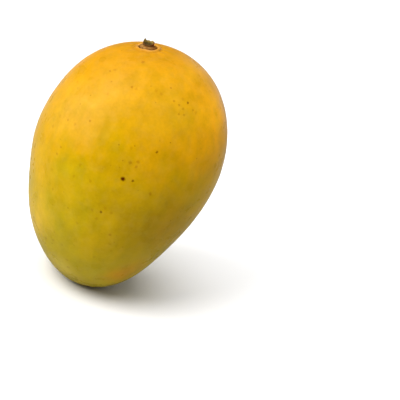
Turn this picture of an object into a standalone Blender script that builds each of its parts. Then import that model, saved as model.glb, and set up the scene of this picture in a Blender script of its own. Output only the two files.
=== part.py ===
"""A whole ripe mango that stands on its lower end, with the short stub of its broken stalk on top.

Run it with: blender --background --python part.py, or from Blender's text editor.

Frame: metres, +Z up. The origin is on the flat spot under the fruit, straight below the middle of the fruit.
-Y is the broad side that is seen first, X runs across the fruit's width and Y through its thickness.
"""

import math

import bmesh
import bpy
from mathutils import Matrix, Vector

COLLECTION = "mango"

# The broad outline of the fruit, seen along Y. It is a circle of MEAN_RADIUS about the middle of the fruit, which
# waves out and in. Each lobe is: how many times it swells in one turn, by how much, and where its first swell points,
# as an angle from +X towards +Z.
MEAN_RADIUS = 0.05036
LOBES = (
    (2, 0.00888, 82.4),  # the fruit is longer than it is broad, and leans a little
    (3, 0.00209, 27.2),  # a full shoulder on the upper right, and a narrower lower end
    (4, 0.00131, -4.8),  # its sides are flatter than an egg's
    (5, 0.00056, -19.5),  # the right side runs in nearly straight to the lower end
    (6, 0.00020, -27.9),  # and two slight waves between these
    (7, 0.00019, 14.7),
)
# The cheeks swell from that outline to half the thickness at the middle.
HALF_THICKNESS = 0.0403
CHEEK_FULLNESS = 2.15  # 2 is an ellipse, and more is fuller
# The middle of the fruit stands this high over the table. The skin would reach 1.8 mm further down, and that much
# is pressed flat.
CENTRE_HEIGHT = 0.0615

# Where the stalk leaves the fruit and where the flat spot lies under it, as a swing away from the upright. The
# swing is seen from the middle of the fruit, and a positive one is to the left, towards -X.
STALK_SWING = 4.0
STALK_FORWARD = 1.5  # and this much towards -Y
FOOT_SWING = 2.8
# Which way the stalk itself points
STALK_LEAN_LEFT = 6.0
STALK_LEAN_FORWARD = 4.0

# The skin round the stalk: a shallow basin, and a low ring of skin close round the woody disc
BASIN_DEPTH = 0.0010
BASIN_RADIUS = 0.0095
LIP_HEIGHT = 0.0005
LIP_RADIUS = 0.0051
LIP_WIDTH = 0.0008

# The woody disc with the broken stub of the stalk on it, and the round seat in the skin that holds the disc
DISC_RADIUS = 0.0039
DISC_SUNK = 0.0010  # from the skin down to the disc's underside
DISC_RISE = 0.0009  # from the skin up to the foot of the stub
STUB_RADIUS = 0.0026
STUB_HEIGHT = 0.0016  # of the broken rim over the foot of the stub
PITH_RADIUS = 0.0016
PITH_DEPTH = 0.0011
# The splinters that stand up from the rim, and the low stretch where it broke away: where they are, seen from above
# from +X towards +Y, how high and how wide
SPLINTERS = (
    (145, 0.0013, 22),
    (45, 0.0004, 40),
    (262, -0.0004, 50),
)
# The small notches between the splinters, and the uneven bark as a share of the radius. Each wave is: how many in
# one turn, how high, and where it starts.
NOTCHES = (
    (4, 0.00012, 1.0),
    (7, 0.00010, 0.4),
)
BARK_WAVES = (
    (5, 0.04, 0.6),
    (3, 0.03, 2.0),
)
CLEARANCE = 0.0003

# Mesh fineness
FRUIT_SEGMENTS = 76
FRUIT_RINGS = 60
CROWDING = 0.5  # 0 spaces the rings evenly, and nearly 1 crowds them at the stalk and at the foot
STUB_SEGMENTS = 36
CUTTER_SEGMENTS = 40
WELD_DISTANCE = 0.00005  # points closer than this are joined after the seat is cut
TURN_MERGE_DISTANCE = 0.00001  # and after a profile is turned

SKIN_COLOUR = (0.78, 0.42, 0.03)
SKIN_ROUGHNESS = 0.42
WOOD_COLOUR = (0.13, 0.08, 0.045)
WOOD_ROUGHNESS = 0.85
SHARP_WOOD_EDGE = 50  # degrees


def clear_scene():
    for old in list(bpy.data.objects):
        bpy.data.objects.remove(old)


def new_collection(name):
    collection = bpy.data.collections.new(name)
    bpy.context.scene.collection.children.link(collection)
    return collection


def new_material(name, colour, roughness):
    material = bpy.data.materials.new(name)
    material.use_nodes = True
    shader = material.node_tree.nodes["Principled BSDF"]
    shader.inputs["Base Color"].default_value = (*colour, 1)
    shader.inputs["Roughness"].default_value = roughness
    shader.inputs["Metallic"].default_value = 0
    return material


def add_object(name, mesh, collection, matrix=None):
    piece = bpy.data.objects.new(name, mesh)
    piece.matrix_world = matrix or Matrix.Identity(4)
    collection.objects.link(piece)
    return piece


def outline_radius(angle):
    """How far the broad outline lies from the middle of the fruit, at an angle from +X towards +Z."""
    return MEAN_RADIUS + sum(
        height * math.cos(count * (angle - math.radians(towards))) for count, height, towards in LOBES
    )


def plain_skin(direction):
    """The point of the skin in that direction from the middle of the fruit, before the stalk's basin."""
    in_plane = math.hypot(direction.x, direction.z)
    outline = outline_radius(math.atan2(direction.z, direction.x))
    share = (in_plane / outline) ** CHEEK_FULLNESS + (abs(direction.y) / HALF_THICKNESS) ** CHEEK_FULLNESS
    return direction * share ** (-1 / CHEEK_FULLNESS)


def swing(left, forward):
    """The turn that brings the upright over to the left and forward."""
    return Matrix.Rotation(math.radians(forward), 3, "X") @ Matrix.Rotation(-math.radians(left), 3, "Y")


def skin_point(polar, turn):
    """A point of the plain skin: polar runs down from the stalk to the foot, and turn runs round the fruit."""
    ball = Vector(
        (math.sin(polar) * math.cos(turn), math.sin(polar) * math.sin(turn), math.cos(polar))
    )
    to_stalk = (1 + math.cos(polar)) / 2
    to_foot = 1 - to_stalk
    axis = swing(to_stalk * STALK_SWING - to_foot * FOOT_SWING, to_stalk * STALK_FORWARD)
    return plain_skin(axis @ ball)


def polar_at_table(turn):
    """How far down from the stalk the skin meets the table, at a turn round the fruit. Found by halving."""
    above, below = math.radians(120), math.pi
    for _ in range(40):
        middle = (above + below) / 2
        if skin_point(middle, turn).z > -CENTRE_HEIGHT:
            above = middle
        else:
            below = middle
    return above


def stalk_frame():
    """The stalk's own frame, seen from the middle of the fruit: its origin is on the plain skin, +Z up the stalk."""
    pointing = swing(STALK_LEAN_LEFT, STALK_LEAN_FORWARD).to_4x4()
    return Matrix.Translation(skin_point(0, 0)) @ pointing


def stalk_end_height(distance):
    """How far the skin stands over the plain skin, at a distance from the stalk's axis."""
    basin = -BASIN_DEPTH * math.exp(-((distance / BASIN_RADIUS) ** 2))
    lip = LIP_HEIGHT * math.exp(-(((distance - LIP_RADIUS) / LIP_WIDTH) ** 2))
    return basin + lip


def fruit_mesh(stalk):
    """A ball with its upper pole at the stalk, drawn out to the form of the fruit.

    Its last ring is the edge of the flat spot, and its lower pole is the middle of that spot.
    """
    from_stalk = stalk.inverted()
    axis = stalk.to_3x3() @ Vector((0, 0, 1))
    last_ring = FRUIT_RINGS - 1
    bm = bmesh.new()
    bmesh.ops.create_uvsphere(bm, u_segments=FRUIT_SEGMENTS, v_segments=FRUIT_RINGS, radius=1)
    for vertex in bm.verts:
        polar = math.acos(max(-1.0, min(1.0, vertex.co.z)))
        turn = math.atan2(vertex.co.y, vertex.co.x)
        ring = round(polar / math.pi * FRUIT_RINGS)
        if ring > last_ring:
            vertex.co = (-math.tan(math.radians(FOOT_SWING)) * CENTRE_HEIGHT, 0, 0)
            continue
        part = ring / last_ring
        part -= CROWDING * math.sin(math.tau * part) / math.tau
        skin = skin_point(part * polar_at_table(turn), turn)
        if part < 0.5:
            near_stalk = from_stalk @ skin
            skin += axis * stalk_end_height(math.hypot(near_stalk.x, near_stalk.y))
        on_table = ring == last_ring
        vertex.co = (skin.x, skin.y, 0 if on_table else skin.z + CENTRE_HEIGHT)
    for face in bm.faces:
        face.smooth = any(vertex.co.z > 0 for vertex in face.verts)
    mesh = bpy.data.meshes.new("fruit")
    bm.to_mesh(mesh)
    bm.free()
    return mesh


def cut_seat(fruit, stalk_world, cutters):
    """Sinks the round seat of the woody disc into the skin."""
    depth = DISC_SUNK + CLEARANCE
    height = 2 * depth + DISC_RISE + LIP_HEIGHT
    bm = bmesh.new()
    bmesh.ops.create_cone(
        bm,
        cap_ends=True,
        segments=CUTTER_SEGMENTS,
        radius1=DISC_RADIUS + CLEARANCE,
        radius2=DISC_RADIUS + CLEARANCE,
        depth=height,
    )
    mesh = bpy.data.meshes.new("seat_cutter")
    bm.to_mesh(mesh)
    bm.free()
    floor = stalk_world @ Matrix.Translation((0, 0, -BASIN_DEPTH - depth))
    cutter = add_object("seat_cutter", mesh, cutters, floor @ Matrix.Translation((0, 0, height / 2)))
    cutter.hide_render = True
    cutter.display_type = "WIRE"
    seat = fruit.modifiers.new("seat", "BOOLEAN")
    seat.operation = "DIFFERENCE"
    seat.solver = "EXACT"
    seat.object = cutter
    tidy = fruit.modifiers.new("join_close_points", "WELD")
    tidy.merge_threshold = WELD_DISTANCE


def stub_profile():
    """Half the stub's section as (radius, height over the disc's underside), from the pith down the outside."""
    foot = DISC_SUNK + DISC_RISE
    rim = foot + STUB_HEIGHT
    return (
        (0, rim - PITH_DEPTH),
        (0.6 * PITH_RADIUS, rim - 0.95 * PITH_DEPTH),
        (PITH_RADIUS, rim - 0.75 * PITH_DEPTH),
        (0.8 * STUB_RADIUS, rim - 0.1 * PITH_DEPTH),
        (0.93 * STUB_RADIUS, rim),
        (STUB_RADIUS, rim - 0.15 * STUB_HEIGHT),
        (0.97 * STUB_RADIUS, rim - 0.5 * STUB_HEIGHT),
        (STUB_RADIUS, rim - 0.8 * STUB_HEIGHT),
        (1.12 * STUB_RADIUS, foot),
        (0.78 * DISC_RADIUS, DISC_SUNK + 0.7 * DISC_RISE),
        (0.9 * DISC_RADIUS, DISC_SUNK + 0.4 * DISC_RISE),
        (0.98 * DISC_RADIUS, DISC_SUNK),
        (DISC_RADIUS, 0.6 * DISC_SUNK),
        (0.97 * DISC_RADIUS, 0.15 * DISC_SUNK),
        (0.9 * DISC_RADIUS, 0),
        (0, 0),
    )


def turned_mesh(name, profile, segments):
    """The closed body that a profile sweeps in one turn about Z."""
    outline = bpy.data.meshes.new(name + "_profile")
    steps = [(n, n + 1) for n in range(len(profile) - 1)]
    outline.from_pydata([(radius, 0, height) for radius, height in profile], steps, [])
    lathe = bpy.data.objects.new(name + "_lathe", outline)
    bpy.context.scene.collection.objects.link(lathe)
    turn = lathe.modifiers.new("turn", "SCREW")
    turn.steps = turn.render_steps = segments
    turn.use_merge_vertices = True
    turn.merge_threshold = TURN_MERGE_DISTANCE
    bpy.context.view_layer.update()
    evaluated = lathe.evaluated_get(bpy.context.evaluated_depsgraph_get())
    mesh = bpy.data.meshes.new_from_object(evaluated)
    mesh.name = name
    bpy.data.objects.remove(lathe)
    bpy.data.meshes.remove(outline)
    return mesh


def wave_sum(waves, angle):
    return sum(height * math.cos(count * angle + start) for count, height, start in waves)


def rim_height(angle):
    """How far the broken rim stands up at an angle, seen from above from +X towards +Y."""
    height = wave_sum(NOTCHES, angle)
    for towards, tall, wide in SPLINTERS:
        apart = math.remainder(angle - math.radians(towards), math.tau)
        height += tall * math.exp(-((apart / math.radians(wide)) ** 2))
    return height


def break_rim(mesh):
    """Gives the turned stub its uneven bark and its broken rim with a long splinter."""
    foot = DISC_SUNK + DISC_RISE
    for vertex in mesh.vertices:
        x, y, z = vertex.co
        angle = math.atan2(y, x)
        radius = math.hypot(x, y)
        uneven = wave_sum(BARK_WAVES, angle)
        if z > foot:
            up = (z - foot) / STUB_HEIGHT
            outer = min(1.0, radius / (0.9 * STUB_RADIUS)) ** 4
            z += up * outer * rim_height(angle)
        else:
            uneven = min(0.0, uneven)
        vertex.co = (x * (1 + uneven), y * (1 + uneven), z)


def build_fruit(stalk, collection, cutters):
    mesh = fruit_mesh(stalk)
    mesh.materials.append(new_material("mango_skin", SKIN_COLOUR, SKIN_ROUGHNESS))
    fruit = add_object("fruit", mesh, collection)
    stalk_world = Matrix.Translation((0, 0, CENTRE_HEIGHT)) @ stalk
    cut_seat(fruit, stalk_world, cutters)
    return stalk_world


def build_stub(stalk_world, collection):
    mesh = turned_mesh("stalk_stub", stub_profile(), STUB_SEGMENTS)
    break_rim(mesh)
    mesh.shade_smooth()
    mesh.set_sharp_from_angle(angle=math.radians(SHARP_WOOD_EDGE))
    mesh.materials.append(new_material("stalk_wood", WOOD_COLOUR, WOOD_ROUGHNESS))
    underside = stalk_world @ Matrix.Translation((0, 0, -BASIN_DEPTH - DISC_SUNK))
    add_object("stalk_stub", mesh, collection, underside)


def main():
    clear_scene()
    collection = new_collection(COLLECTION)
    cutters = new_collection("cutters")
    stalk_world = build_fruit(stalk_frame(), collection, cutters)
    build_stub(stalk_world, collection)


main()
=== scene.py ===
# %% [markdown]
# # A ripe mango
#
# This lesson dresses the plain solid of a whole mango in its skin and gives it the woody stub of its
# stalk. The solid comes first. It is the fixed frame of the object, in metres, with +Z up, and every size
# below is read from it, so the skin can't drift away from the solid.

# %% Load the solid
import math

import bpy
import numpy as np
from mathutils import Matrix, Quaternion, Vector
from mathutils.bvhtree import BVHTree


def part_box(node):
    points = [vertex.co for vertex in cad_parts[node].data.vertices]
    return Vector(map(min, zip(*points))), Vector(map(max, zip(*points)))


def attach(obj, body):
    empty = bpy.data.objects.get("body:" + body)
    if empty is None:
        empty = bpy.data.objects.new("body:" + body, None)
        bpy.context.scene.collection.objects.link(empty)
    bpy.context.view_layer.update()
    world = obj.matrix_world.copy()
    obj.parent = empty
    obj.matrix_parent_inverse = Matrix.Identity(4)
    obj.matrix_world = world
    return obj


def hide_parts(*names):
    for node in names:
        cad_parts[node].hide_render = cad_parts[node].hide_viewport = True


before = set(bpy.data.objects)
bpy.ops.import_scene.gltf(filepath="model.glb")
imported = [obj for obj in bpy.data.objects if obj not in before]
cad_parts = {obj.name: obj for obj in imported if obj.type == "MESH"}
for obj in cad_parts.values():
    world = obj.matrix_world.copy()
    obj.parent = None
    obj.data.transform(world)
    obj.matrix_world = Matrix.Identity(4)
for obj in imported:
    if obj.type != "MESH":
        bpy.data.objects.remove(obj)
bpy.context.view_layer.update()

fruit_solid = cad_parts["fruit"]
stub_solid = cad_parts["stalk_stub"]
for solid in (fruit_solid, stub_solid):
    low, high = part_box(solid.name)
    print(solid.name, "mm:", [round(side * 1000, 1) for side in high - low])

# %% [markdown]
# ## The camera
#
# The picture is square, 400 by 400, and looks a little down on the fruit. The lens is long, so the fruit
# keeps its proportions. In the picture the fruit leans over to the right. It stands upright here, on its
# own flat spot, so the camera is rolled by the same angle instead. The fruit is left of the middle of the
# picture, so the camera is turned until the fruit's middle falls on the right pixel. Shifting the lens
# would do too, but it would also move the fruit in every other view.

# %% Place the camera
PICTURE_SIDE = 400
SENSOR = 36.0
LENS = 100.0
PIXELS_PER_SLOPE = PICTURE_SIDE * LENS / SENSOR

FRUIT_LEAN = math.radians(16)  # of the fruit in the picture
LOOKING_DOWN = math.radians(23)
DISTANCE = 0.512
MIDDLE_HEIGHT = 0.0615  # the middle of the fruit over the table
MIDDLE_PIXEL = (123.8, 162.1)

middle = Vector((0, 0, MIDDLE_HEIGHT))


def sight_line(pixel):
    """The direction of a pixel in the camera's own frame, which looks along -Z."""
    right = (pixel[0] - PICTURE_SIDE / 2) / PIXELS_PER_SLOPE
    up = (PICTURE_SIDE / 2 - pixel[1]) / PIXELS_PER_SLOPE
    return Vector((right, up, -1)).normalized()


def in_scene(name, data):
    """A new object of the scene, for a camera, a lamp or a mesh."""
    made = bpy.data.objects.new(name, data)
    bpy.context.scene.collection.objects.link(made)
    return made


back = Vector((0, -math.cos(LOOKING_DOWN), math.sin(LOOKING_DOWN)))
level = (-back).to_track_quat("-Z", "Y")
rolled = level @ Quaternion((0, 0, 1), FRUIT_LEAN)
aimed = rolled @ sight_line(MIDDLE_PIXEL).rotation_difference(Vector((0, 0, -1)))

camera_data = bpy.data.cameras.new("camera")
camera_data.lens = LENS
camera_data.sensor_width = SENSOR
camera_data.clip_start = 0.01
camera = in_scene("camera", camera_data)
camera.rotation_mode = "QUATERNION"
camera.location = middle + back * DISTANCE
camera.rotation_quaternion = aimed
bpy.context.scene.camera = camera
print("camera at", [round(place, 3) for place in camera.location])

# %% [markdown]
# ## Wiring a finish
#
# A finish is a tree of nodes. A few small helpers keep the wiring readable: they add a node and fill its
# inputs, do sums, and lay a colour over another. Every pattern of the fruit is placed by the object's own
# coordinates, in metres, so it stays on the skin from any side and needs no picture.

# %% Helpers for finishes
def feed(tree, node, inputs):
    """Fills a node's inputs with values or with other nodes' outputs."""
    for key, value in inputs.items():
        if isinstance(value, bpy.types.NodeSocket):
            tree.links.new(value, node.inputs[key])
        else:
            node.inputs[key].default_value = value


def put(tree, kind, inputs=None, out=0, **settings):
    """Adds a node, sets it up, fills its inputs, and gives one of its outputs."""
    made = tree.nodes.new("ShaderNode" + kind)
    for name, value in settings.items():
        setattr(made, name, value)
    feed(tree, made, inputs or {})
    return made.outputs[out]


def reckon(tree, operation, first, second=0.0):
    return put(tree, "Math", {0: first, 1: second}, operation=operation)


def product(tree, first, *others):
    for other in others:
        first = reckon(tree, "MULTIPLY", first, other)
    return first


def apart(tree, first, second):
    """The distance between two places."""
    return put(tree, "VectorMath", {0: first, 1: second}, out="Value", operation="DISTANCE")


def along(tree, place, direction):
    """How far a place lies along a direction."""
    return put(tree, "VectorMath", {0: place, 1: direction}, out="Value", operation="DOT_PRODUCT")


def opaque(colour):
    """Gives a colour of three parts its fourth, and leaves a node's output as it is."""
    return (*colour, 1) if isinstance(colour, tuple) else colour


def lay_over(tree, share, under, over, blend_type="MIX"):
    """Lays one colour over another by a share from 0 to 1."""
    inputs = {0: share, 6: opaque(under), 7: opaque(over)}
    return put(tree, "Mix", inputs, out=2, data_type="RGBA", blend_type=blend_type)


def spread(tree, value, low, high, to_low=0.0, to_high=1.0, smooth=False):
    """Maps a value from one range to another, and stops at the ends."""
    settings = {"interpolation_type": "SMOOTHSTEP"} if smooth else {}
    return put(tree, "MapRange", {0: value, 1: low, 2: high, 3: to_low, 4: to_high}, **settings)


def ramp(tree, value, stops):
    """Colours along a value from 0 to 1. Each stop is a place and a colour."""
    made = tree.nodes.new("ShaderNodeValToRGB")
    points = made.color_ramp.elements
    while len(points) < len(stops):
        points.new(0.5)
    for point, (place, colour) in zip(points, stops):
        point.position = place
        point.color = (*colour, 1)
    tree.links.new(value, made.inputs[0])
    return made.outputs[0]


def mottle(tree, where, size, detail=2.0, offset=(0, 0, 0), rough=0.5):
    """A cloudy value round 0.5 whose clouds are about the given size in metres."""
    moved = put(tree, "VectorMath", {0: where, 1: offset}, operation="ADD")
    return put(tree, "TexNoise", {"Vector": moved, "Scale": 1 / size, "Detail": detail, "Roughness": rough})


def new_finish(name):
    """A new material, its tree, its shader, and the place in the object as an output."""
    material = bpy.data.materials.new(name)
    material.use_nodes = True
    tree = material.node_tree
    return material, tree, tree.nodes["Principled BSDF"], put(tree, "TexCoord", out="Object")


# %% [markdown]
# ## The table
#
# The fruit stands on a white table that runs out of the picture on all sides. Far from the fruit the
# table glows, so it melts into the white behind it and no horizon shows. A bent backdrop would do that
# for one camera, but not for one that goes round the fruit. Where the skin mirrors the table, the table
# counts half, as if a polarising filter had taken part of the reflection away. Without that the lower
# edges of the fruit turn a greyish white.

# %% Lay the table
TABLE_SIDE = 12.0
NEAR_TABLE = 0.45  # past this distance the table starts to glow
FAR_TABLE = 1.3  # and here it glows fully
TABLE_WHITE = 0.93
MIRRORED_TABLE = 0.5

half = TABLE_SIDE / 2
table_mesh = bpy.data.meshes.new("table")
table_corners = [(-half, -half, 0), (half, -half, 0), (half, half, 0), (-half, half, 0)]
table_mesh.from_pydata(table_corners, [], [(0, 1, 2, 3)])
table_finish, table_nodes, table_shader, table_place = new_finish("white table")
from_fruit = put(table_nodes, "VectorMath", {0: table_place}, out="Value", operation="LENGTH")
is_mirrored = put(table_nodes, "LightPath", out="Is Glossy Ray")
strength = spread(table_nodes, is_mirrored, 0.0, 1.0, 1.0, MIRRORED_TABLE)
feed(table_nodes, table_shader, {
    "Base Color": reckon(table_nodes, "MULTIPLY", strength, TABLE_WHITE),
    "Roughness": 0.9,
    "Specular IOR Level": 0.1,
    "Emission Color": strength,
    "Emission Strength": spread(table_nodes, from_fruit, NEAR_TABLE, FAR_TABLE),
})
table_mesh.materials.append(table_finish)
table = in_scene("table", table_mesh)
print("table", TABLE_SIDE, "m wide")

# %% [markdown]
# ## The lamps
#
# The light is soft. A wide lamp hangs close over the fruit. A second one stands high in front and to the
# left, where it draws the broad pale sheen on the upper left. A weak one behind and to the right lights
# the edge of the shoulder. Discs are used, because their sheen has no corners. The overhead lamp lights
# the fruit but isn't mirrored in it, for the same reason as the table.

# %% Hang the lamps
def soft_lamp(name, place, width, watts):
    """A round lamp that looks at the middle of the fruit."""
    lamp = bpy.data.lights.new(name, "AREA")
    lamp.shape = "DISK"
    lamp.size = width
    lamp.energy = watts
    holder = in_scene(name, lamp)
    holder.location = place
    holder.rotation_mode = "QUATERNION"
    holder.rotation_quaternion = (middle - Vector(place)).to_track_quat("-Z", "Y")
    holder.visible_camera = False
    return holder


overhead = soft_lamp("overhead lamp", place=(-0.10, 0.0, 0.9), width=1.2, watts=9.5)
overhead.visible_glossy = False
soft_lamp("key lamp", place=(-0.70, -0.48, 0.82), width=0.8, watts=14.5)
soft_lamp("rim lamp", place=(0.50, 1.0, 0.35), width=0.8, watts=1.2)
print("overhead lamp", round(overhead.location.z, 2), "m up")

# %% [markdown]
# ## The sky
#
# The sky is dim, and dimmest at the horizon. So hardly any light creeps in under the fruit, and its
# shadow is dark where it touches the table and fades quickly. A bright even sky would be simpler, but it
# washes that contact out and lays a grey veil on the skin. Only the camera sees the sky white.

# %% Paint the sky
HORIZON_LIGHT = 0.05
ZENITH_LIGHT = 0.45
SEEN_SKY = 1.1  # what the camera sees past the edge of the table

sky = bpy.data.worlds.new("studio sky")
sky.use_nodes = True
sky_nodes = sky.node_tree
way_up = put(sky_nodes, "SeparateXYZ", {0: put(sky_nodes, "TexCoord", out="Generated")}, out="Z")
brightness = spread(sky_nodes, way_up, 0.0, 1.0, HORIZON_LIGHT, ZENITH_LIGHT)
is_seen = put(sky_nodes, "LightPath", out="Is Camera Ray")
sky_light = put(sky_nodes, "Mix", {"Factor": is_seen, "A": brightness, "B": SEEN_SKY})
feed(sky_nodes, sky_nodes.nodes["Background"], {"Color": (1, 1, 1, 1), "Strength": sky_light})
bpy.context.scene.world = sky
bpy.context.scene.view_settings.view_transform = "Standard"
print("sky from", HORIZON_LIGHT, "at the horizon to", ZENITH_LIGHT, "overhead")

# %% [markdown]
# ## Where the stalk sits
#
# The solid's stub is a turned body on a flat round underside, and that underside is its widest flat part.
# So its largest triangles lie there: their normal is the stalk's axis, turned round, and their middle is
# a point of the axis. Reading this from the mesh is safer than typing the numbers again.

# %% Find the stalk's axis
SAME_WAY = 0.9999  # the cosine of under a degree
LARGE = 0.5  # of the largest triangle


def triangles_of(solid):
    """The corners of a solid's triangles, as an array of n by 3 by 3."""
    mesh = solid.data
    mesh.calc_loop_triangles()
    corners = np.array([triangle.vertices for triangle in mesh.loop_triangles])
    places = np.array([vertex.co for vertex in mesh.vertices])
    return places[corners]


def in_mm(place):
    return [round(float(part) * 1000, 1) for part in place]


stub_triangles = triangles_of(stub_solid)
first, second, third = stub_triangles.swapaxes(0, 1)
crosses = np.cross(second - first, third - first)
sizes = np.linalg.norm(crosses, axis=1)
largest = crosses[sizes.argmax()] / sizes.max()
underside = (crosses / sizes[:, None] @ largest > SAME_WAY) & (sizes > LARGE * sizes.max())
stalk_axis = Vector(-largest)
stalk_foot = Vector(stub_triangles[underside].reshape(-1, 3).mean(axis=0))
print("stalk axis", [round(part, 3) for part in stalk_axis], "underside mm", in_mm(stalk_foot))

# %% [markdown]
# ## A fine net over the fruit
#
# The solid has flat facets about four millimetres wide. For the skin we want a net that is ten times
# finer and has no facets. A subdivision surface on the solid would round it off, but it would also round
# the seat of the stalk. Here the fruit is measured instead: rays from all round hit the solid, and the
# hits make a net of rings that run down from the stalk to the flat spot. The rings are close together at
# the stalk, where the finest forms are.

# %% Measure the fruit with rays
RINGS = 300
TURNS = 300
STALK_SPACING = 0.25  # how wide the rings lie at the stalk, as a share of an even spacing
NEARLY_ALL = 1 - 1e-4  # the last ring stays just short of the bottom
ON_TABLE = 1e-6  # points lower than this are on the flat spot
RAY_START = 0.2  # from the heart of the fruit, well outside it

fruit_low, fruit_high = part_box("fruit")
heart = (fruit_low + fruit_high) / 2


def ray_tree(mesh):
    """A mesh in the form that rays are cast at."""
    places = [vertex.co for vertex in mesh.vertices]
    return BVHTree.FromPolygons(places, [polygon.vertices for polygon in mesh.polygons])


fruit_tree = ray_tree(fruit_solid.data)
spot = np.array([vertex.co for vertex in fruit_solid.data.vertices if vertex.co.z < ON_TABLE])
spot_middle = Vector((spot.min(axis=0) + spot.max(axis=0)) / 2)
spot_middle.z = 0

to_stalk = (stalk_foot - heart).normalized()
to_spot = (spot_middle - heart).normalized()


def sideways_of(axis):
    """Two directions square to an axis and to each other. The first is as near to +X as can be."""
    across = Vector((1, 0, 0)) - Vector((1, 0, 0)).project(axis)
    across.normalize()
    return across, axis.cross(across)


side_x, side_y = sideways_of(to_stalk)


def ring_falls():
    """How far down from the stalk each ring lies, as an angle at the heart of the fruit."""
    part = np.arange(1, RINGS + 1) / RINGS
    return math.pi * NEARLY_ALL * (STALK_SPACING * part + (1 - STALK_SPACING) * part**3)


def net_directions(fall):
    """A direction from the heart of the fruit for each ring and turn."""
    turn = math.tau * np.arange(TURNS) / TURNS
    sides = np.outer(np.cos(turn), side_x) + np.outer(np.sin(turn), side_y)
    lengthwise = np.outer(np.cos(fall / 2) ** 2, to_stalk) + np.outer(np.sin(fall / 2) ** 2, to_spot)
    directions = lengthwise[:, None, :] + np.sin(fall)[:, None, None] * sides[None, :, :]
    return directions / np.linalg.norm(directions, axis=2, keepdims=True)


def radii_of(directions):
    """How far the solid's outside lies from the heart, for each direction."""
    radii = np.empty(directions.shape[:2])
    for ring, row in enumerate(directions):
        for turn, direction in enumerate(row):
            inward = Vector(-direction)
            hit = fruit_tree.ray_cast(heart - inward * RAY_START, inward)
            radii[ring, turn] = RAY_START - hit[3]
    return radii


fall = ring_falls()
directions = net_directions(fall)
radii = radii_of(directions)
print("net of", radii.size, "points, radii mm from and to:", in_mm((radii.min(), radii.max())))

# %% [markdown]
# ## Smoothing the facets away
#
# A ray that hits the middle of a facet comes back a few hundredths of a millimetre short. That is too
# little to see as a shape, but a glossy skin would show it as a change of light. A blur of the radii, as
# wide as a facet, takes it away and leaves the form alone. It runs round each ring, and then down them.

# %% Blur the radii
FACET_TURN = math.radians(3.0)
FACET_FALL = math.radians(2.6)
BLUR_REACH = 3  # a neighbour this many widths away hardly counts any more
FLANKS = (0.3, 2.6)  # how far down the flanks begin and end, as angles


def bell(steps_in_widths):
    """A bell curve."""
    return np.exp(-0.5 * steps_in_widths**2)


def blur_round(values, width):
    """Blurs each ring by a width in steps of the net."""
    reach = int(BLUR_REACH * width)
    steps = np.arange(-reach - 1, reach + 2)
    weights = bell(steps / width)
    weights /= weights.sum()
    return sum(weight * np.roll(values, step, axis=1) for step, weight in zip(steps, weights))


def blur_down(values, fall, width):
    """Blurs down the rings by an angle. A ring's neighbours count by how far down they are."""
    smooth = np.empty_like(values)
    for ring, here in enumerate(fall):
        near = np.abs(fall - here) < BLUR_REACH * width
        weights = bell((fall[near] - here) / width) * np.gradient(fall)[near]
        smooth[ring] = weights @ values[near] / weights.sum()
    return smooth


smooth_radii = blur_down(blur_round(radii, FACET_TURN * TURNS / math.tau), fall, FACET_FALL)
flanks = (fall > FLANKS[0]) & (fall < FLANKS[1])
moved = np.abs(smooth_radii - radii)[flanks].max()
print("the blur moved the flanks by", round(moved * 1000, 3), "mm at most")

# %% [markdown]
# ## A bowl round the stalk
#
# Round the stalk the skin dips into a shallow bowl. The solid has this bowl, but with a round seat cut in
# its middle, so rays there fall into the seat. We read the skin's height just outside it, lay a bowl
# through those points by least squares, and let it take over from the rays near the stalk. Filling the
# hole by hand would leave a seam.

# %% Lay a bowl round the stalk
BOWL_FROM = 0.0072  # up to this distance from the axis the fitted bowl counts alone
BOWL_TO = 0.0095  # and past this one the measured skin
FITTED_TO = 0.014  # the bowl is fitted to the skin from BOWL_FROM to here
FITTED_DEPTH = 0.01  # and no deeper than this under the disc
STALK_END = 0.03  # all work round the stalk stays inside this distance
STALK_END_DEPTH = 0.02

stalk_frame = np.array([*sideways_of(stalk_axis), stalk_axis])


def seen_from_stalk(points):
    """Points in the stalk's own frame: across, across, and up the stalk from the disc's underside."""
    return (points - np.array(stalk_foot)) @ stalk_frame.T


def eased(values, low, high):
    """0 under low, 1 over high, and a soft step between them."""
    part = np.clip((values - low) / (high - low), 0, 1)
    return part * part * (3 - 2 * part)


def bowl_terms(points):
    """What the height of a bowl is summed from: flat, two slopes, three bends and a rising edge."""
    x, y = points[..., 0], points[..., 1]
    return np.stack([np.ones_like(x), x, y, x * x, x * y, y * y, (x * x + y * y) ** 2 * 1e4], axis=-1)


local = seen_from_stalk(np.array(heart) + directions * radii[..., None])
reach = np.hypot(local[..., 0], local[..., 1])
fitted = local[(reach > BOWL_FROM) & (reach < FITTED_TO) & (local[..., 2] > -FITTED_DEPTH)]
bowl, *_ = np.linalg.lstsq(bowl_terms(fitted), fitted[:, 2], rcond=None)

local = seen_from_stalk(np.array(heart) + directions * smooth_radii[..., None])
reach = np.hypot(local[..., 0], local[..., 1])
near_stalk = (reach < STALK_END) & (local[..., 2] > -STALK_END_DEPTH)
share = np.where(near_stalk, eased(reach, BOWL_FROM, BOWL_TO), 1)
local[..., 2] = share * local[..., 2] + (1 - share) * (bowl_terms(local) @ bowl)
print("bowl fitted to", len(fitted), "points")

# %% [markdown]
# ## The lip
#
# The skin puckers a little towards the stalk and stands up in a low lip against the woody disc. Both are
# formulas of the distance from the stalk's axis and the angle round it. A real lip is never an even ring,
# so its height and its distance waver with the angle. Inside it the skin dips under the disc.

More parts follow.
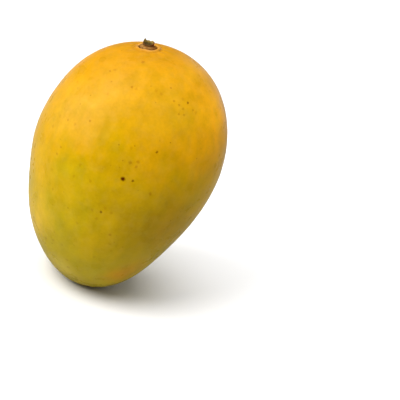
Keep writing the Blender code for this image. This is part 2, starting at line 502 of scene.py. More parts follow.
# %% Raise the lip
SEAT_RADIUS = 0.0041
SEAT_EDGE = (SEAT_RADIUS - 0.0003, SEAT_RADIUS + 0.0001)  # where the skin dips
SEAT_DEPTH = 0.0016
LIP_HEIGHT = 0.00058
LIP_AT = 0.0049
LIP_WIDTH = 0.00065
LIP_STRAYS = ((0.00015, 2, 0.0), (0.00010, 3, 1.0))  # metres, waves round the stalk, their shift
LIP_SWELLS = ((0.22, 3, 0.5), (0.15, 5, 2.2))  # share of its height, waves, their shift
GROOVE_DEPTH = 0.00016  # round the lip
GROOVE_AT = 0.0063
GROOVE_WIDTH = 0.0007
PUCKER_HEIGHT = 0.00010
PUCKERS_AT = 0.0082
PUCKERS_WIDTH = 0.0026
PUCKER_COUNT = 11
PUCKER_UNEVENNESS = 1.4  # how much closer they stand at some angles


def ridge(distance, at, width):
    """1 at a distance, and falling off to both sides of it."""
    return np.exp(-(((distance - at) / width) ** 2))


def waves_round(waves):
    """The sum of some waves round the stalk."""
    return sum(amount * np.cos(count * around + shift) for amount, count, shift in waves)


around = np.arctan2(local[..., 1], local[..., 0])
wander = reach - waves_round(LIP_STRAYS)
lip = LIP_HEIGHT * (1 + waves_round(LIP_SWELLS))
lip = lip * ridge(wander, LIP_AT, LIP_WIDTH) - GROOVE_DEPTH * ridge(wander, GROOVE_AT, GROOVE_WIDTH)
puckers = PUCKER_HEIGHT * np.cos(PUCKER_COUNT * around + PUCKER_UNEVENNESS * np.cos(2 * around))
puckers = puckers * ridge(reach, PUCKERS_AT, PUCKERS_WIDTH)
into_seat = -SEAT_DEPTH * (1 - eased(reach, *SEAT_EDGE))
local[..., 2] += np.where(near_stalk, lip + puckers + into_seat, 0)
skin = local @ stalk_frame + np.array(stalk_foot)
print("lip up to", round(float(lip[near_stalk].max()) * 1000, 2), "mm over the bowl")

# %% [markdown]
# ## An uneven skin
#
# No fruit is a perfect form. The cheeks have broad shallow dents, about as wide as a thumb, where fibres
# pull on the skin. A sum of a few slow waves in three directions gives them. They only ever press the
# skin in, so the fruit keeps its measured size. The bottom is held at the table's height, which makes the
# flat spot.

# %% Dent the skin
DENT_DEPTH = 0.00032
DENT_WIDTH = 0.034
SMALL_DENT_DEPTH = 0.00007
SMALL_DENT_WIDTH = 0.009
UNDENTED = (0.006, 0.018)  # from the stalk's axis: no dents up to the first, full ones past the second
WAVES = 7


def slow_waves(points, size, seed):
    """A smooth value between -1 and 1 that changes over about the given size, the same each time."""
    total = 0
    for turned, tilted, shift in np.random.default_rng(seed).uniform(0, math.tau, (WAVES, 3)):
        flat = math.cos(tilted)
        axis = np.array([math.cos(turned) * flat, math.sin(turned) * flat, math.sin(tilted)])
        total = total + np.sin(points @ axis * (math.tau / size) + shift)
    return total / WAVES


dents = DENT_DEPTH * (0.5 + 0.5 * slow_waves(skin, DENT_WIDTH, 3))
small_dents = SMALL_DENT_DEPTH * (0.5 + 0.5 * slow_waves(skin, SMALL_DENT_WIDTH, 8))
away_from_stalk = eased(np.where(near_stalk, reach, 1), *UNDENTED)
pressed_in = (dents + small_dents) * away_from_stalk
skin = skin - directions * pressed_in[..., None]
skin[..., 2] = np.maximum(skin[..., 2], 0)
print("dents up to", round(pressed_in.max() * 1000, 2), "mm deep")

# %% [markdown]
# ## From net to mesh
#
# The net has rings of points, one under the other. Four neighbours make a face, and at each end the last
# ring closes in a fan round one point. The broken stalk is a net too, so this is a helper. Listing faces
# is plain work, but it keeps the rings in order, which a skin stretched over loose points would not.

# %% Build the skin's mesh
def net_mesh(name, points, first, last):
    """A closed mesh from rings of points, with one point before the first ring and one after the last."""
    rings, turns = points.shape[:2]
    places = np.vstack([[first], points.reshape(-1, 3), [last]])
    number = np.arange(rings * turns).reshape(rings, turns) + 1
    after = np.roll(number, -1, axis=1)
    upper, upper_after = number[:-1].ravel(), after[:-1].ravel()
    lower, lower_after = number[1:].ravel(), after[1:].ravel()
    faces = [(0, a, b) for a, b in zip(number[0].tolist(), after[0].tolist())]
    faces += np.stack([upper, lower, lower_after, upper_after], axis=1).tolist()
    faces += [(rings * turns + 1, b, a) for a, b in zip(number[-1].tolist(), after[-1].tolist())]
    mesh = bpy.data.meshes.new(name)
    mesh.from_pydata(places.tolist(), [], faces)
    mesh.shade_smooth()
    return mesh


fruit_mesh = net_mesh("mango_skin", skin, skin[0].mean(axis=0), skin[-1].mean(axis=0))
fruit = in_scene("mango_skin", fruit_mesh)
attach(fruit, "root")
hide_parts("fruit")
print("skin has", len(fruit_mesh.polygons), "faces")

# %% [markdown]
# ## Finding a place on the skin
#
# Marks such as the dark speck on the belly have to sit where the picture has them. A pixel gives a line
# of sight, and the first thing that the line meets on the finished skin is the mark's place in the
# object. From then on it is a point of the fruit, in metres, and no longer depends on the camera.

# %% Pick points of the skin by pixel
skin_tree = ray_tree(fruit_mesh)


def on_skin(pixel):
    """The point of the skin that the camera sees at a pixel."""
    place = skin_tree.ray_cast(camera.location, aimed @ sight_line(pixel))[0]
    if place is None:
        raise ValueError(f"no skin at pixel {pixel}")
    return place


print("middle of the picture's fruit, mm:", in_mm(on_skin(MIDDLE_PIXEL)))

# %% [markdown]
# ## The colour of ripening
#
# A mango ripens from the shoulder down. This one is golden to orange on the upper half and still green-
# yellow at its lower end. One value says how ripe a point is: how far it lies along a line from the green
# end to the ripe shoulder. The place is drifted first by slow clouds and by streaks that run down the
# fruit, so the border between the colours is uneven. A ramp then turns the value into colour.

# %% Make places waver
CLOUD_SIZE = 0.022
CLOUD_DRIFT = 0.016
STREAK_SIZE = 0.006
STREAK_DRIFT = 0.005
STREAK_STRETCH = (1, 1, 0.4)  # drawn out along the fruit


def drift(tree, where, size, amount, stretch=(1, 1, 1)):
    """Moves places to and fro by clouds of a size, up to about half the amount, so that borders waver."""
    stretched = put(tree, "VectorMath", {0: where, 1: stretch}, operation="MULTIPLY")
    cloud = put(tree, "TexNoise", {"Vector": stretched, "Scale": 1 / size, "Detail": 3.0}, out=1)
    centred = put(tree, "VectorMath", {0: cloud, 1: (0.5, 0.5, 0.5)}, operation="SUBTRACT")
    pushed = put(tree, "VectorMath", {0: centred, 3: amount}, operation="SCALE")
    return put(tree, "VectorMath", {0: where, 1: pushed}, operation="ADD")


skin_finish, skin_nodes, skin_shader, skin_place = new_finish("mango skin")
clouded_place = drift(skin_nodes, skin_place, CLOUD_SIZE, CLOUD_DRIFT)
wavering = drift(skin_nodes, clouded_place, STREAK_SIZE, STREAK_DRIFT, STREAK_STRETCH)
print("places waver by up to about", (CLOUD_DRIFT + STREAK_DRIFT) / 2 * 1000, "mm")

# %% Ripeness and its colours
RIPENESS_COLOURS = (
    (0.00, (0.290, 0.212, 0.006)),
    (0.20, (0.320, 0.224, 0.003)),
    (0.40, (0.370, 0.236, 0.002)),
    (0.55, (0.415, 0.240, 0.001)),
    (0.70, (0.445, 0.233, 0.001)),
    (0.85, (0.460, 0.224, 0.001)),
    (1.00, (0.490, 0.222, 0.001)),
)
GREEN_END = on_skin((90, 262))
RIPE_SHOULDER = on_skin((150, 92))
RIPENING_CLOUDS = 0.012
UNEVENNESS = 0.5  # how much of the scale the clouds take a place to and fro

line = RIPE_SHOULDER - GREEN_END
from_end = put(skin_nodes, "VectorMath", {0: wavering, 1: GREEN_END}, operation="SUBTRACT")
ripeness = along(skin_nodes, from_end, line / line.length_squared)
uneven = mottle(skin_nodes, skin_place, RIPENING_CLOUDS, detail=4.0, offset=(0, 0.9, 0), rough=0.6)
ripeness = put(skin_nodes, "Math", {0: uneven, 1: UNEVENNESS, 2: ripeness}, operation="MULTIPLY_ADD")
ripeness = reckon(skin_nodes, "SUBTRACT", ripeness, UNEVENNESS / 2)
skin_colour = ramp(skin_nodes, ripeness, RIPENESS_COLOURS)
print("green end mm", in_mm(GREEN_END), "ripe shoulder mm", in_mm(RIPE_SHOULDER))

# %% [markdown]
# ## Blushes
#
# Over the ripening lie broad patches with soft edges: gold on both flanks, orange round the stalk, a dull
# olive on the belly and brown on the lower right. Some are partly painted light: the pale gold on the upper
# left is a painted highlight where the sheen falls, the right flank's edge is brightened where it is lit,
# and the orange round the stalk and the brown on the lower right are darkened in part as painted shade.
# Each is a ball of colour round a point of the skin, strongest in the middle and gone at its radius. They
# use the same drifted places as the ripening, which keeps their edges from being circles.

# %% Lay the blushes
BLUSHES = (
    # pixel, radius in metres, how strong, colour
    ((208, 124), 0.026, 0.85, (0.740, 0.340, 0.004)),  # gold on the right flank
    # partly painted light: brighter where the edge of the right flank and the shoulder is lit
    ((216, 112), 0.018, 0.80, (0.850, 0.400, 0.010)),
    ((196, 74), 0.016, 0.60, (0.600, 0.290, 0.010)),
    ((44, 128), 0.026, 0.50, (0.460, 0.232, 0.003)),  # and on the left one
    ((38, 172), 0.018, 0.80, (0.455, 0.258, 0.003)),
    ((36, 214), 0.018, 0.85, (0.460, 0.285, 0.014)),
    ((64, 268), 0.010, 0.60, (0.400, 0.300, 0.040)),  # pale green at its foot
    ((112, 136), 0.020, 0.45, (0.390, 0.238, 0.001)),  # olive in the middle
    # painted highlight: pale gold with a little blue where the sheen falls on the upper left
    ((80, 106), 0.022, 0.70, (0.500, 0.275, 0.030)),  # pale gold over it
    ((114, 84), 0.018, 0.60, (0.460, 0.245, 0.026)),
    ((158, 100), 0.026, 0.60, (0.480, 0.262, 0.010)),
    ((186, 120), 0.016, 0.60, (0.455, 0.256, 0.004)),
    # partly painted shade: darker orange round the stalk, where less light falls
    ((104, 60), 0.022, 0.60, (0.400, 0.190, 0.006)),  # orange below the stalk
    ((146, 48), 0.034, 0.95, (0.390, 0.172, 0.004)),  # and round it
    ((70, 172), 0.011, 0.55, (0.350, 0.245, 0.002)),  # green streak
    ((116, 166), 0.014, 0.60, (0.330, 0.195, 0.001)),  # dull patch on the belly
    ((104, 200), 0.014, 0.50, (0.330, 0.195, 0.001)),
    ((102, 240), 0.020, 0.60, (0.390, 0.240, 0.002)),  # and lighter again below it
    ((150, 168), 0.011, 0.60, (0.460, 0.235, 0.002)),  # gold beside it
    # partly painted shade: darker and browner on the lower right, which lies in shade
    ((160, 230), 0.038, 0.75, (0.240, 0.130, 0.002)),  # brown on the lower right
    ((124, 274), 0.014, 0.80, (0.370, 0.165, 0.001)),  # orange tint at the lower end
)
for pixel, radius, strength, colour in BLUSHES:
    away = apart(skin_nodes, wavering, on_skin(pixel))
    share = spread(skin_nodes, away, 0.0, radius, strength, 0.0, smooth=True)
    skin_colour = lay_over(skin_nodes, share, skin_colour, colour)
print(len(BLUSHES), "blushes")

# %% [markdown]
# ## Clouds, streaks and pores
#
# Seen close, the skin isn't one even colour. Soft streaks run from the stalk down, small clouds make it
# lighter and darker, and the whole surface is stippled with pores. All three are noise of different
# sizes. The streaks are noise that is drawn out along the fruit. Last comes a trace of pale wax in small
# clouds, which takes a little of the colour away.

# %% Cloud the skin
STREAK_WIDTH = 0.0042
LONG = (1, 1, 0.28)  # drawn out along the fruit
CLOUD_WIDTH = 0.0065
STIPPLE_WIDTH = 0.0011
BLOOM_WIDTH = 0.0034
STREAK_TONES = (0.96, 1.03)  # darkest and lightest, as shares of the skin's own colour
CLOUD_TONES = (0.93, 1.06)
STIPPLE_TONES = (0.96, 1.04)
GREENER_LEAVES = (0.90, 1.0, 0.6)  # of the skin's own colour, in the valleys between the streaks
WAXY_BLOOM = (0.60, 0.55, 0.40)
BLOOM_SHARE = 0.017  # where the wax is thickest


def stain(colour, share, leaves):
    """Stains a colour by a share. Where that is 1, only what the stain leaves is left."""
    return lay_over(skin_nodes, share, colour, leaves, blend_type="MULTIPLY")


long_place = put(skin_nodes, "VectorMath", {0: skin_place, 1: LONG}, operation="MULTIPLY")
streaks = mottle(skin_nodes, long_place, STREAK_WIDTH, detail=2.0)
clouds = mottle(skin_nodes, skin_place, CLOUD_WIDTH, detail=3.0, offset=(0.3, 0, 0))
stipple = mottle(skin_nodes, skin_place, STIPPLE_WIDTH, detail=2.0, offset=(0, 0.3, 0))

streak_tone = spread(skin_nodes, streaks, 0.32, 0.68, *STREAK_TONES)
cloud_tone = spread(skin_nodes, clouds, 0.34, 0.66, *CLOUD_TONES)
stipple_tone = spread(skin_nodes, stipple, 0.30, 0.70, *STIPPLE_TONES)
tone = product(skin_nodes, streak_tone, cloud_tone, stipple_tone)
toned = put(skin_nodes, "VectorMath", {0: skin_colour, 3: tone}, operation="SCALE")
greener = spread(skin_nodes, streaks, 0.30, 0.55, 0.45, 0.0)
skin_colour = stain(toned, greener, GREENER_LEAVES)
bloom = mottle(skin_nodes, skin_place, BLOOM_WIDTH, detail=3.0, offset=(0, 0, 0.9))
bloom_share = spread(skin_nodes, bloom, 0.44, 0.72, 0.0, BLOOM_SHARE)
skin_colour = lay_over(skin_nodes, bloom_share, skin_colour, WAXY_BLOOM)
print("up to", BLOOM_SHARE, "of wax on the skin")

# %% [markdown]
# ## Lenticels and specks
#
# Mango skin breathes through lenticels: fine corky dots, a few millimetres apart, browner than the skin.
# A pattern of cells gives their places all over the fruit, and chance decides how much each one shows.
# Thousands of small pieces would do it too, but at this size a change of colour and a little height is
# all that one sees. The far side, which the picture doesn't show, gets a few larger specks in the same
# way.

# %% Dot the skin with lenticels
LENTICEL_SPACING = 0.0034
LENTICEL_RADIUS = 0.00030
LENTICEL_LEAVES = (0.42, 0.36, 0.30)  # of the skin's own colour
DOTTED_PATCHES = 0.016  # the dots show in patches about this wide


def scattered(spacing, randomness):
    """The distance in metres to the nearest of many scattered points, and a number drawn for that point."""
    cells = skin_nodes.nodes.new("ShaderNodeTexVoronoi")
    feed(skin_nodes, cells, {"Vector": skin_place, "Scale": 1 / spacing, "Randomness": randomness})
    drawn = put(skin_nodes, "SeparateXYZ", {0: cells.outputs["Color"]})
    return reckon(skin_nodes, "MULTIPLY", cells.outputs["Distance"], spacing), drawn


def dot_of(distance, radius, full, gone):
    """1 in the middle of a dot, full to a share of its radius and gone at another."""
    return spread(skin_nodes, distance, full * radius, gone * radius, 1.0, 0.0, smooth=True)


from_dot, drawn = scattered(LENTICEL_SPACING, randomness=0.9)
dot = dot_of(from_dot, LENTICEL_RADIUS, full=0.4, gone=1.7)
showing = spread(skin_nodes, drawn, 0.40, 1.0, 0.0, 0.75)
dotted = mottle(skin_nodes, skin_place, DOTTED_PATCHES, offset=(0, 0, 0.5))
patchy = spread(skin_nodes, dotted, 0.38, 0.56)
lenticel_share = product(skin_nodes, dot, showing, patchy)
skin_colour = stain(skin_colour, lenticel_share, LENTICEL_LEAVES)
print("lenticels", LENTICEL_SPACING * 1000, "mm apart")

# %% Scatter specks over the far side
FAR_SPECK_SPACING = 0.0072
FAR_SPECK_RADIUS = 0.00052
FAR_SPECK_LEAVES = (0.22, 0.12, 0.04)
FAR_SIDE = (0.004, 0.016)  # along Y: no specks up to the first, all of them past the second

from_speck, drawn = scattered(FAR_SPECK_SPACING, randomness=1.0)
speck = dot_of(from_speck, FAR_SPECK_RADIUS, full=0.5, gone=1.3)
some = spread(skin_nodes, drawn, 0.45, 1.0, 0.0, 0.90)
far_side = spread(skin_nodes, put(skin_nodes, "SeparateXYZ", {0: skin_place}, out="Y"), *FAR_SIDE)
far_share = product(skin_nodes, speck, some, far_side)
skin_colour = stain(skin_colour, far_share, FAR_SPECK_LEAVES)
print("far specks", FAR_SPECK_SPACING * 1000, "mm apart, about half of them showing")

# %% [markdown]
# ## The marks
#
# The marks are small scars and sap burns. The fruit has them at certain places, so each is set one by one,
# at the pixel where the picture has it. They could be drawn at random too, but the dark speck on the
# belly is what tells this fruit from any other. Marks of one kind share a size and a darkness. Their
# places are drifted a little, so that the small ones get ragged edges and the smudges run.

# %% Set the marks
SPECK_LEAVES = (0.16, 0.02, 0.00)  # of the skin's own colour, where a mark is full
BROWN_LEAVES = (0.30, 0.03, 0.00)
RAGGED_EDGE = (0.0007, 0.0009)  # how wide the waves in a mark's edge are, and how far they push it
SMUDGED_EDGE = (0.0018, 0.0012)
SPECK_RADIUS = 0.00095
DOT_RADIUS = 0.00052
SMUDGE_RADIUS = 0.00075
FAINT_RADIUS = 0.00070
BELLY_SPECK = ((123, 179),)
DARK_DOTS = ((157, 152), (188, 103), (133, 181), (101, 212))
BROWN_DOTS = (
    (184, 115), (183, 109), (174, 101), (179, 105), (193, 110), (179, 114), (171, 88), (132, 87),
    (110, 71), (68, 120), (90, 121), (61, 147), (57, 154),
)
BROWN_SMUDGES = (
    (150, 194), (130, 163), (138, 162), (136, 167), (143, 62), (143, 50), (110, 235), (67, 260),
    (68, 267), (53, 240), (46, 238),
)
FAINT_SMUDGES = (
    (60, 116), (53, 126), (75, 124), (77, 82), (115, 70), (108, 94), (136, 89), (156, 91),
    (161, 94), (183, 99), (196, 113), (131, 148), (80, 165), (52, 169), (53, 189), (74, 176),
    (90, 181), (105, 208), (92, 210), (111, 213), (97, 219), (77, 223), (43, 232), (62, 245),
    (110, 244), (111, 251), (94, 257),
)


def marks_at(where, pixels, radius, dark):
    """How dark marks of one kind make each place."""
    share = 0.0
    for pixel in pixels:
        mark = dot_of(apart(skin_nodes, where, on_skin(pixel)), radius, full=0.45, gone=1.45)
        share = reckon(skin_nodes, "MAXIMUM", mark, share)
    return reckon(skin_nodes, "MULTIPLY", share, dark)


ragged = drift(skin_nodes, skin_place, *RAGGED_EDGE)
smudged = drift(skin_nodes, ragged, *SMUDGED_EDGE)
speck_share = marks_at(ragged, BELLY_SPECK, SPECK_RADIUS, dark=0.97)
dot_share = marks_at(ragged, DARK_DOTS, DOT_RADIUS, dark=0.66)
pit_share = reckon(skin_nodes, "MAXIMUM", speck_share, dot_share)
for share in (
    marks_at(smudged, FAINT_SMUDGES, FAINT_RADIUS, dark=0.18),
    marks_at(smudged, BROWN_SMUDGES, SMUDGE_RADIUS, dark=0.30),
    marks_at(ragged, BROWN_DOTS, DOT_RADIUS, dark=0.34),
):
    skin_colour = stain(skin_colour, share, BROWN_LEAVES)
skin_colour = stain(skin_colour, pit_share, SPECK_LEAVES)
print(sum(map(len, (BELLY_SPECK, DARK_DOTS, BROWN_DOTS, BROWN_SMUDGES, FAINT_SMUDGES))), "marks")

# %% [markdown]
# ## The lip round the stalk
#
# The ring of skin that hugs the woody disc is corky and paler, a peach colour, and the groove outside it
# is browner. Both follow the distance from the stalk's axis, like the ring's own form.

# %% Tint the lip
PEACH = (0.560, 0.270, 0.055)
GROOVE_BROWN = (0.340, 0.140, 0.006)
TINTED_TO = 0.0085  # from the stalk's axis
STALK_SIDE = (-0.010, -0.006)  # heights along the axis: no tint up to the first
PEACH_PATCHES = 0.0030

from_foot = put(skin_nodes, "VectorMath", {0: ragged, 1: stalk_foot}, operation="SUBTRACT")
off_axis = put(skin_nodes, "VectorMath", {0: from_foot, 1: stalk_axis}, operation="CROSS_PRODUCT")
axis_distance = put(skin_nodes, "VectorMath", {0: off_axis}, out="Value", operation="LENGTH")
stalk_side = spread(skin_nodes, along(skin_nodes, from_foot, stalk_axis), *STALK_SIDE)
lip_clouds = mottle(skin_nodes, skin_place, PEACH_PATCHES, offset=(0.1, 0, 0))
patchiness = spread(skin_nodes, lip_clouds, 0.40, 0.62, 0.25, 0.85)
for colour, near_axis, gone, strength in (
    # colour, full up to this distance from the axis, gone past this one, how strong
    (GROOVE_BROWN, 0.0052, TINTED_TO, 0.50),
    (PEACH, 0.0046, 0.0060, patchiness),
    (GROOVE_BROWN, 0.0040, 0.0044, 0.90),
):
    share = spread(skin_nodes, axis_distance, near_axis, gone, 1.0, 0.0, smooth=True)
    skin_colour = lay_over(skin_nodes, product(skin_nodes, share, strength, stalk_side), skin_colour, colour)
print("lip tinted up to", TINTED_TO * 1000, "mm from the stalk's axis")

# %% [markdown]
# ## Sheen and pores
#
# The skin has a thin waxy bloom. It shines softly, and the shine is a little warm, because part of it
# comes back from the yellow under the wax. Its roughness changes with the clouds. The pores, the
# lenticels and the pits of the marks are far too small to build as faces, so they only tilt the light:
# their heights go into a bump, in metres.

# %% Finish the skin
SHEEN_TINT = (1.0, 0.78, 0.10, 1)
SHEEN = 0.05
SKIN_ROUGHNESS = (0.26, 0.36)
PORE_HEIGHT = 0.00003
RIPPLE_HEIGHT = 0.00010
RIPPLE_WIDTH = 0.0030
LENTICEL_HEIGHT = 0.00003
PIT_DEPTH = 0.00015

ripples = mottle(skin_nodes, long_place, RIPPLE_WIDTH, detail=2.0, offset=(0.7, 0, 0))
skin_height = 0.0
for value, height in (
    (stipple, PORE_HEIGHT),
    (ripples, RIPPLE_HEIGHT),
    (lenticel_share, LENTICEL_HEIGHT),
    (pit_share, -PIT_DEPTH),
):
    skin_height = put(skin_nodes, "Math", {0: value, 1: height, 2: skin_height}, operation="MULTIPLY_ADD")
feed(skin_nodes, skin_shader, {
    "Base Color": skin_colour,
    "Roughness": spread(skin_nodes, clouds, 0.35, 0.65, *SKIN_ROUGHNESS),
    "Specular IOR Level": SHEEN,
    "Specular Tint": SHEEN_TINT,
    "Normal": put(skin_nodes, "Bump", {"Height": skin_height, "Strength": 1.0, "Distance": 1.0}),
})
fruit_mesh.materials.append(skin_finish)
print("skin finish has", len(skin_nodes.nodes), "nodes")

# %% [markdown]
# ## The broken stalk
#
# When a mango is picked, its stalk snaps off short. What stays is a woody disc, grown tight into the
# skin, and on it a stub of bark round a paler pith. The break left a thin splinter standing at the back
# and a low, ragged rim in front. The solid has these forms with few faces. The fine piece is turned from
# the same kind of section, with many rings, and each ring is then pushed about by formulas of its angle:
# fibres, cracks, notches and the splinter. Carving the coarse solid finer would keep its corners, so it
# is better to turn it anew over the solid's measured heights.

# %% Turn the stub
STUB_TURNS = 320
DISC_EDGE = 0.0039
STUB_WALL = 0.0026
PITH_WALL = 0.0018
DISC_TOP = 0.0019  # heights over the disc's underside
SKIN_LINE = 0.0011
RIM_TOP = 0.0035
PITH_TOP = 0.0024
BEND = 0.7  # how round the line runs through the section's points: 0 has corners

STUB_SECTION = (
    # radius, height, and how many rings lie between this point and the next
    (0.05 * PITH_WALL, PITH_TOP - 0.0001, 10),
    (0.60 * PITH_WALL, PITH_TOP, 10),
    (0.95 * PITH_WALL, PITH_TOP + 0.0001, 10),
    (0.82 * STUB_WALL, RIM_TOP - 0.0003, 10),
    (0.92 * STUB_WALL, RIM_TOP, 6),
    (0.99 * STUB_WALL, RIM_TOP - 0.0002, 14),
    (0.96 * STUB_WALL, DISC_TOP + 0.0006, 14),
    (1.10 * STUB_WALL, DISC_TOP + 0.0001, 12),
    (1.30 * STUB_WALL, DISC_TOP - 0.0002, 10),
    (0.93 * DISC_EDGE, SKIN_LINE + 0.0003, 8),
    (0.99 * DISC_EDGE, SKIN_LINE - 0.0001, 8),
    (0.98 * DISC_EDGE, 0.0003, 6),
    (0.90 * DISC_EDGE, 0.0, 4),
    (0.05 * DISC_EDGE, 0.0, 1),
)


def along_section(section):
    """Radii and heights of all the rings, on a smooth line through the section's points."""
    knots = np.cumsum([0] + [steps for *_, steps in section[:-1]])
    rings = np.arange(knots[-1] + 1)
    piece = np.clip(np.searchsorted(knots, rings, side="right") - 1, 0, len(section) - 2)
    part = (rings - knots[piece]) / np.diff(knots)[piece]
    lines = []
    for values in np.array(section)[:, :2].T:
        bends = BEND * np.gradient(values)
        lines.append(
            values[piece] * (1 + 2 * part) * (1 - part) ** 2
            + values[piece + 1] * part**2 * (3 - 2 * part)
            + bends[piece] * part * (1 - part) ** 2
            - bends[piece + 1] * part**2 * (1 - part)
        )
    return lines


section_radii, section_heights = along_section(STUB_SECTION)
angle = math.tau * np.arange(STUB_TURNS) / STUB_TURNS
print("stub has", len(section_radii), "rings of", STUB_TURNS, "points")

# %% Break its rim
SPLINTER_AT = math.radians(145)
SPLINTER_HEIGHT = 0.00130
SPLINTER_WIDTH = math.radians(32)
SPLINTER_POINT = 1.2  # 1 is a straight-sided point, and more a slimmer one
HIGH_RIM_AT = math.radians(45)
HIGH_RIM_HEIGHT = 0.0004
HIGH_RIM_WIDTH = 0.7
LOW_RIM_AT = math.radians(262)
LOW_RIM_DEPTH = 0.0004
LOW_RIM_WIDTH = 0.9
NOTCH_COUNT = 22
NOTCH_DEPTH = 0.00038
NOTCH_WIDTHS = (0.05, 0.16)


def angle_from(place):
    """How far each turn of the net lies from an angle, at most half a turn."""
    return np.abs((angle - place + math.pi) % math.tau - math.pi)


def broken_rim():
    """How far the rim stands up at each turn: a splinter, a high back, a low front and sharp notches."""
    tip = np.clip(1 - angle_from(SPLINTER_AT) / SPLINTER_WIDTH, 0, 1) ** SPLINTER_POINT
    rim = SPLINTER_HEIGHT * tip - LOW_RIM_DEPTH * ridge(angle_from(LOW_RIM_AT), 0, LOW_RIM_WIDTH)
    rim += HIGH_RIM_HEIGHT * ridge(angle_from(HIGH_RIM_AT), 0, HIGH_RIM_WIDTH)
    draw = np.random.default_rng(21)
    places = draw.uniform(0, math.tau, NOTCH_COUNT)
    depths = NOTCH_DEPTH * draw.uniform(0.2, 1, NOTCH_COUNT)
    widths = draw.uniform(*NOTCH_WIDTHS, NOTCH_COUNT)
    for place, depth, width in zip(places, depths, widths):
        rim -= depth * (1 - 0.8 * tip) * np.clip(1 - angle_from(place) / width, 0, 1)
    return rim


rise = np.clip((section_heights - DISC_TOP) / (RIM_TOP - DISC_TOP), 0, 1)
wall_share = np.clip(section_radii / (0.9 * STUB_WALL), 0, 1) ** 4
rim = broken_rim()
heights = section_heights[:, None] + (rise * wall_share)[:, None] * rim[None, :]
print("rim mm off level, from and to:", in_mm((rim.min(), rim.max())))

# %% [markdown]
# ## Fibres and lumps
#
# The bark isn't smooth: fibres run up it, and the disc swells and sinks in lumps. Both are slow waves
# again, read at places on the wood, and they push each point out or in. Under the skin's lip the lumps
# may only press in, so that the disc never breaks through the skin round it.

# %% Roughen the wood
FIBRE_HEIGHT = 0.00005
FIBRE_WIDTH = 0.0006
FINE_WIDTH = 0.0003
FIBRE_STRETCH = 0.25  # draws the fibres out up the stalk
LUMP_HEIGHT = 0.00022
LUMP_WIDTH = 0.0022
UNDERSIDE_EDGE = 0.0002  # up to this height the underside stays smooth
SEAT_CLEARANCE = 0.0001

every_ring = np.ones_like(heights)
ways_out = np.stack([np.cos(angle) * every_ring, np.sin(angle) * every_ring], axis=-1)
stub_radii = section_radii[:, None] * every_ring
fibre_places = np.concatenate([ways_out * STUB_WALL, heights[..., None] * FIBRE_STRETCH], axis=-1)
lump_places = np.concatenate([ways_out * stub_radii[..., None], heights[..., None]], axis=-1)
fibres = slow_waves(fibre_places, FIBRE_WIDTH, 4) + slow_waves(fibre_places, FINE_WIDTH, 6)
fibres = FIBRE_HEIGHT * fibres
lumps = LUMP_HEIGHT * slow_waves(lump_places, LUMP_WIDTH, 5)
outside = np.clip(section_radii / STUB_WALL, 0, 1)[:, None] * (section_heights > UNDERSIDE_EDGE)[:, None]
under_skin = np.clip((section_radii - 0.8 * DISC_EDGE) / (0.2 * DISC_EDGE), 0, 1)[:, None]
pushed_out = 2 * fibres + lumps * (1 - under_skin) + np.minimum(lumps, 0) * under_skin
stub_radii = np.minimum(stub_radii + pushed_out * outside, SEAT_RADIUS - SEAT_CLEARANCE)
on_disc = (section_heights > SKIN_LINE)[:, None] * (1 - rise)[:, None]
heights = heights + (lumps * 0.5 + fibres) * on_disc
stub_points = np.stack([stub_radii * np.cos(angle), stub_radii * np.sin(angle), heights], axis=-1)

stub_mesh = net_mesh("broken_stalk", stub_points, stub_points[0].mean(axis=0), stub_points[-1].mean(axis=0))
stub = in_scene("broken_stalk", stub_mesh)
stub.matrix_world = Matrix.Translation(stalk_foot) @ Matrix(stalk_frame.T.tolist()).to_4x4()
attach(stub, "root")
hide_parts("stalk_stub")
tip_height = float(stub_points[..., 2].max())
print("stub has", len(stub_mesh.polygons), "faces and is", round(tip_height * 1000, 1), "mm high")

# %% [markdown]
# ## Wood, bark and pith
#
# Dry stalk wood is tan. The bark on it is darker and redder, and the pith inside keeps an olive tinge,
# but it is painted dark, as the shade in the stub's hollow. The distance from the stalk's axis and the
# height tell these three apart. The disc and the stub turn darker and redder towards the right, partly as
# painted shade on the side away from the light. The top of the splinter and the back rim are pale, as
# painted light where the back of the break is lit. Fine noise, drawn out along the stalk, gives the fibres,
# and a dark line follows the place where the disc meets the skin.

# %% Read the stub's own measures
GRAIN_SIZE = 0.0004
PATCH_SIZE = 0.0016
# the disc and the stub are painted darker and redder that way, partly as shade
RIGHT_END = (0.95, -0.3, 0)  # the way to the redder end of the disc

wood_finish, wood_nodes, wood_shader, wood_place = new_finish("stalk wood")
flat_place = put(wood_nodes, "VectorMath", {0: wood_place, 1: (1, 1, 0)}, operation="MULTIPLY")
from_axis = put(wood_nodes, "VectorMath", {0: flat_place}, out="Value", operation="LENGTH")
backward = put(wood_nodes, "SeparateXYZ", {0: wood_place}, out="Y")
upward = put(wood_nodes, "SeparateXYZ", {0: wood_place}, out="Z")
rightward = along(wood_nodes, wood_place, RIGHT_END)
long_grain = put(wood_nodes, "VectorMath", {0: wood_place, 1: (1, 1, 0.2)}, operation="MULTIPLY")
grain = mottle(wood_nodes, long_grain, GRAIN_SIZE, detail=3.0)
patches = mottle(wood_nodes, wood_place, PATCH_SIZE, detail=2.0, offset=(0.02, 0, 0))
print("grain of", GRAIN_SIZE * 1000, "mm, patches of", PATCH_SIZE * 1000, "mm")

# %% Colour the wood
# the pith: painted shade of the stub's hollow, with a faint olive tinge and lighter grain
PITH_SHADE = (0.034, 0.017, 0.003)
PITH_LIGHT = (0.080, 0.050, 0.009)
BARK_COLOUR = (0.090, 0.036, 0.008)
BARK_LIGHT = (0.160, 0.075, 0.016)
DISC_COLOUR = (0.210, 0.085, 0.012)
DISC_LIGHT = (0.300, 0.165, 0.045)
DISC_DARK = (0.080, 0.028, 0.008)
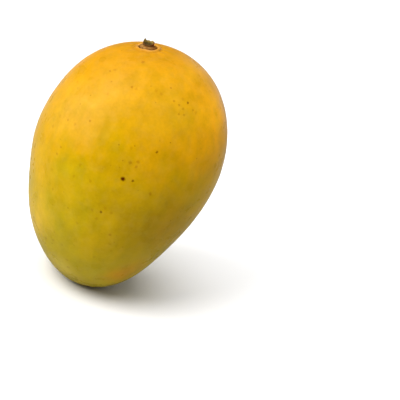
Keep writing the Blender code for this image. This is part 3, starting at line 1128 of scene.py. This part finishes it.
# partly painted shade: the disc's right side, away from the light, darker and redder
DISC_RED_SHADE = (0.150, 0.052, 0.006)
# painted light: pale where the top of the back rim and the splinter are lit
LIT_RIM_COLOUR = (0.270, 0.175, 0.038)
# partly painted shade: the stub's right end, darker and redder
END_RED_SHADE = (0.120, 0.032, 0.004)
# Ranges in metres: a colour starts at the first value and is full at the second.
DISC_REDDENS = (0.0, 0.0026)  # to the right
END_REDDENS = (0.0012, 0.0020)
LIT_RIM_HEIGHTS = (RIM_TOP - 0.0010, RIM_TOP - 0.0003)
LIT_RIM_BACKWARD = (-0.0002, 0.0010)
BARK_HEIGHTS = (DISC_TOP + 0.0002, DISC_TOP + 0.0008)

# the pith, painted dark as the shade in the hollow
pith = lay_over(wood_nodes, spread(wood_nodes, grain, 0.40, 0.62), PITH_SHADE, PITH_LIGHT)
bark = lay_over(wood_nodes, spread(wood_nodes, grain, 0.45, 0.70), BARK_COLOUR, BARK_LIGHT)
disc = lay_over(wood_nodes, spread(wood_nodes, patches, 0.42, 0.60), DISC_COLOUR, DISC_LIGHT)
disc = lay_over(wood_nodes, spread(wood_nodes, grain, 0.52, 0.66, 0.0, 0.8), disc, DISC_DARK)
# partly painted shade: darker and redder towards the right
disc = lay_over(wood_nodes, spread(wood_nodes, rightward, *DISC_REDDENS, 0.0, 0.7), disc, DISC_RED_SHADE)
at_edge = spread(wood_nodes, from_axis, 0.92 * DISC_EDGE, 0.99 * DISC_EDGE, 0.0, 0.9)
disc = lay_over(wood_nodes, at_edge, disc, DISC_DARK)

over_disc = spread(wood_nodes, upward, *BARK_HEIGHTS)
inside = spread(wood_nodes, from_axis, 0.80 * STUB_WALL, 0.92 * STUB_WALL, 1.0, 0.0)
# painted light on the top of the back rim and the splinter
lit_rim = spread(wood_nodes, upward, *LIT_RIM_HEIGHTS, 0.0, 0.95)
lit_rim = product(wood_nodes, lit_rim, spread(wood_nodes, backward, *LIT_RIM_BACKWARD))
# partly painted shade: the stub's right end
right_end = product(wood_nodes, spread(wood_nodes, rightward, *END_REDDENS, 0.0, 0.9), over_disc)
wood_colour = disc
for share, colour in ((over_disc, bark), (inside, pith), (lit_rim, LIT_RIM_COLOUR), (right_end, END_RED_SHADE)):
    wood_colour = lay_over(wood_nodes, share, wood_colour, colour)
feed(wood_nodes, wood_shader, {
    "Base Color": wood_colour,
    "Roughness": 0.8,
    "Specular IOR Level": 0.12,
    "Normal": put(wood_nodes, "Bump", {"Height": grain, "Strength": 0.5, "Distance": 0.0001}),
})
stub_mesh.materials.append(wood_finish)
print("wood finish has", len(wood_nodes.nodes), "nodes")
